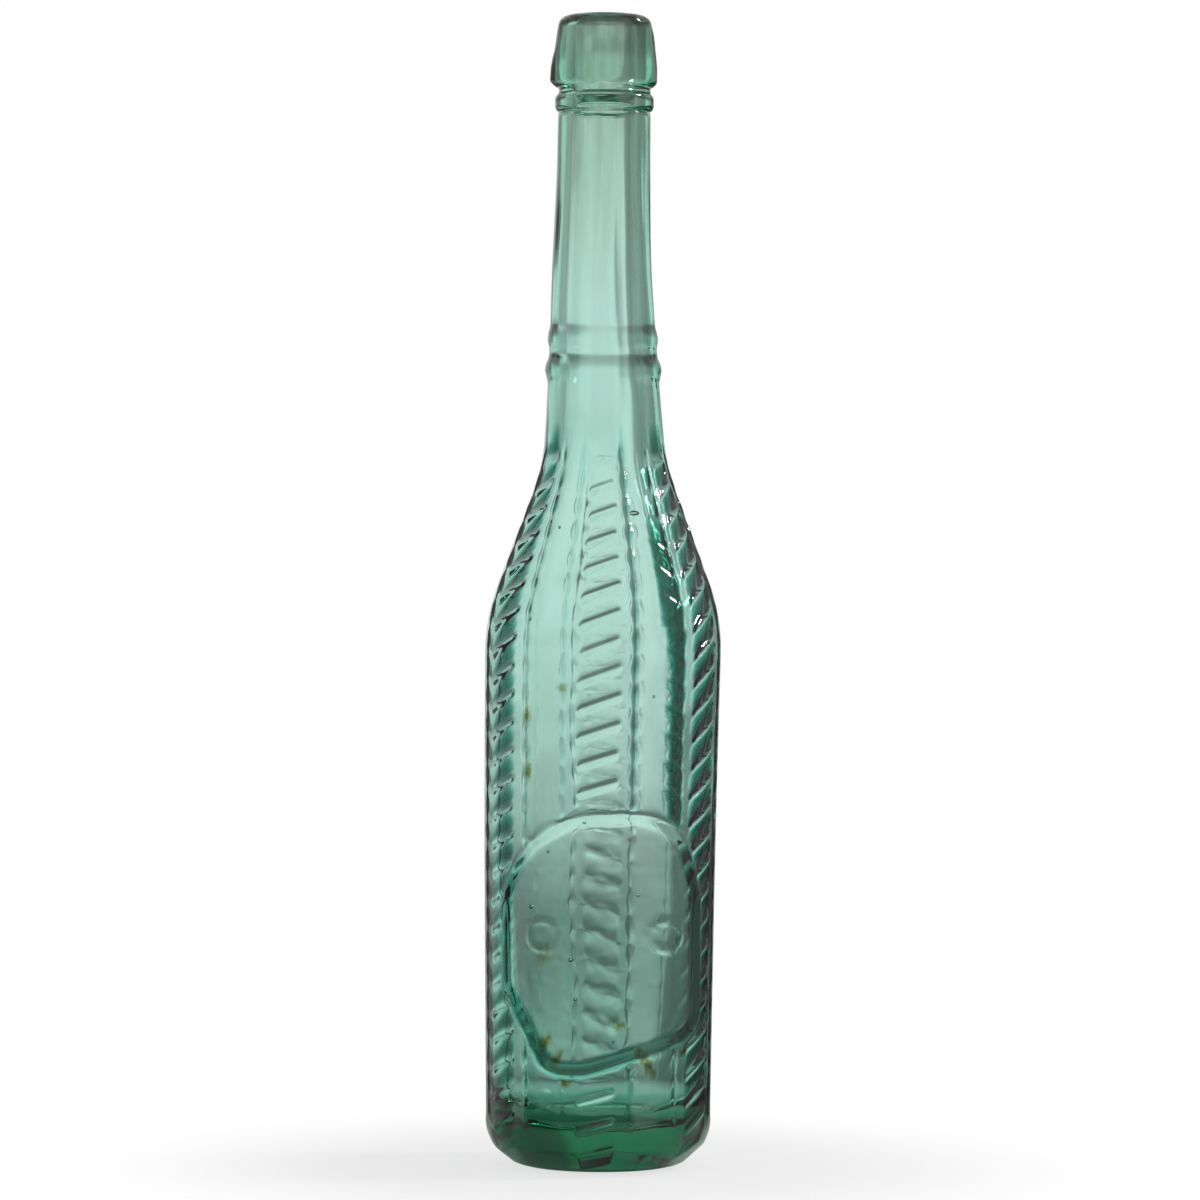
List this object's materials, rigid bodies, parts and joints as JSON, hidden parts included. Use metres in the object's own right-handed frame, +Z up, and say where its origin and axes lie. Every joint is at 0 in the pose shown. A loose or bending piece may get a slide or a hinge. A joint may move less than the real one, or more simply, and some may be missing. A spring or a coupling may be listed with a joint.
{
  "type": "glass bottle",
  "caption": "Tall round glass bottle with a long neck, an applied lip over a collar ring, columns of slanted ribs between upright ridges and a blank oval plate low on its front.",
  "frame": {"origin": "centre of the resting ring on the underside of the base, at the height of the surface it stands on", "axes": "+Z up the neck to the mouth, -Y towards the front with the blank oval plate, +X to the right as seen from the front"},
  "size_m": [0.0522, 0.0532, 0.254],
  "materials": {
    "aqua_glass": "clear blue-green aqua glass with seeds, wavy surface and a deeper colour where it is thick"
  },
  "bodies": {
    "root": {"blown_bottle": "aqua_glass", "applied_lip": "aqua_glass", "collar_ring": "aqua_glass"}
  },
  "joints": []
}
